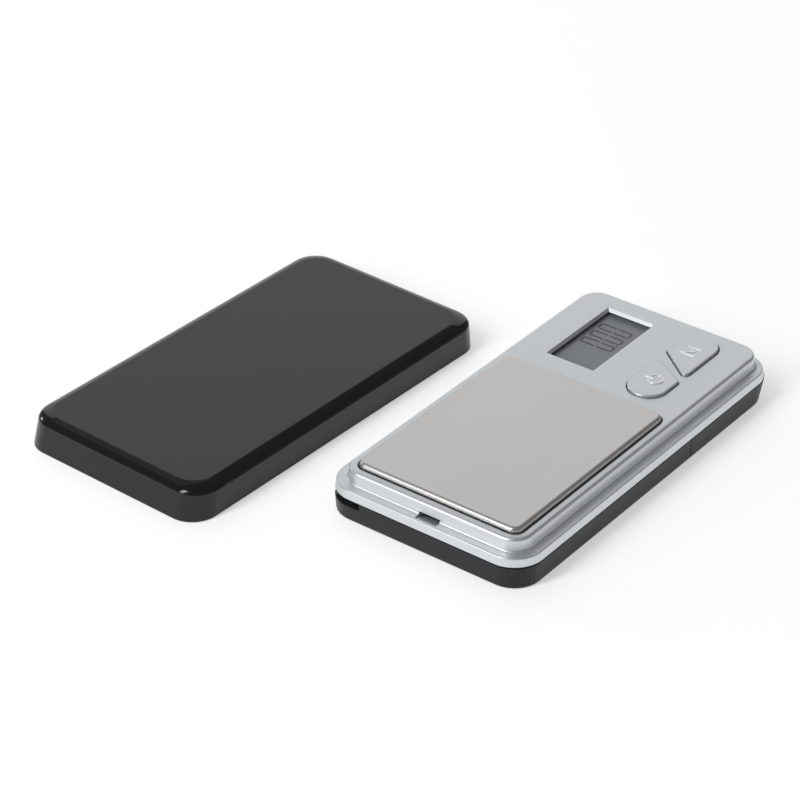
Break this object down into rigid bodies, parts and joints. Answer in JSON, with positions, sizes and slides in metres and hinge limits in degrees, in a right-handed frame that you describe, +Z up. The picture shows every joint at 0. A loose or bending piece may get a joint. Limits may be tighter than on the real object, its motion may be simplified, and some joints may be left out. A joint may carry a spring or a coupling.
{
  "type": "pocket gram scale",
  "caption": "Flat pocket gram scale with a steel weighing tray, small display and press keys, beside its separate press-on black cover.",
  "frame": {"origin": "on the supporting surface, under the middle of the scale's body", "axes": "+X across the scale's short side, away from the cover; +Y along the long side, towards the display end; +Z up"},
  "size_m": [0.1087, 0.1092, 0.0104],
  "materials": {
    "silver_housing": "satin silver paint on moulded plastic",
    "black_base": "fine satin",
    "gloss_cover": "polished black",
    "tray_steel": "satin stainless",
    "carrier_plastic": "moulded",
    "foam_tape": "double-sided foam tape",
    "bar_aluminium": "milled",
    "zinc_steel": "zinc plated",
    "cell_steel": "nickel plated",
    "gauge_film": "polyimide film",
    "board_green": "solder mask",
    "display_glass": "reflective liquid crystal panel",
    "white_plastic": "moulded",
    "connector_rubber": "striped conductive rubber",
    "black_epoxy": "moulded epoxy",
    "contact_metal": "spring brass",
    "wire_red": "insulation",
    "wire_white": "insulation",
    "wire_black": "insulation",
    "wire_green": "insulation"
  },
  "bodies": {
    "scale_body": {"upper_housing": "silver_housing", "lower_housing": "black_base", "load_cell": "bar_aluminium", "load_cell_spacer": "zinc_steel", "load_cell_screw_1": "zinc_steel", "load_cell_screw_2": "zinc_steel", "strain_gauge_top": "gauge_film", "strain_gauge_bottom": "gauge_film", "gauge_wire_red": "wire_red", "gauge_wire_white": "wire_white", "gauge_wire_black": "wire_black", "gauge_wire_green": "wire_green", "main_board": "board_green", "display_glass": "display_glass", "display_frame": "white_plastic", "display_connector": "connector_rubber", "power_switch": "black_epoxy", "mode_switch": "black_epoxy", "controller_blob": "black_epoxy", "converter_chip": "black_epoxy", "crystal": "cell_steel", "coin_cell": "cell_steel", "contact_negative": "contact_metal", "contact_positive": "contact_metal", "housing_screw_1": "zinc_steel", "housing_screw_2": "zinc_steel", "housing_screw_3": "zinc_steel", "housing_screw_4": "zinc_steel", "board_screw_1": "zinc_steel", "board_screw_2": "zinc_steel", "board_screw_3": "zinc_steel"},
    "platform": {"weighing_tray": "tray_steel", "tray_carrier": "carrier_plastic", "tray_tape": "foam_tape", "carrier_screw_1": "zinc_steel", "carrier_screw_2": "zinc_steel"},
    "power_button": {"power_key": "silver_housing", "power_plunger": "carrier_plastic"},
    "mode_button": {"mode_key": "silver_housing", "mode_plunger": "carrier_plastic"},
    "battery_door": {"battery_cover": "black_base"},
    "cover": {"press_on_cover": "gloss_cover"}
  },
  "joints": [
    {"name": "platform_press", "type": "slide", "parent": "scale_body", "child": "platform", "axis": [0, 0, -1], "range_m": [0, 0.00025], "stiffness_N_per_m": 20000},
    {"name": "power_press", "type": "slide", "parent": "scale_body", "child": "power_button", "axis": [0, 0, -1], "range_m": [0, 0.00035], "stiffness_N_per_m": 1500},
    {"name": "mode_press", "type": "slide", "parent": "scale_body", "child": "mode_button", "axis": [0, 0, -1], "range_m": [0, 0.00035], "stiffness_N_per_m": 1500},
    {"name": "battery_door_slide", "type": "slide", "parent": "scale_body", "child": "battery_door", "axis": [0, 1, 0], "range_m": [0, 0.032]},
    {"name": "cover_lift", "type": "slide", "parent": "scale_body", "child": "cover", "axis": [0, 0, 1], "range_m": [0, 0.06]}
  ]
}
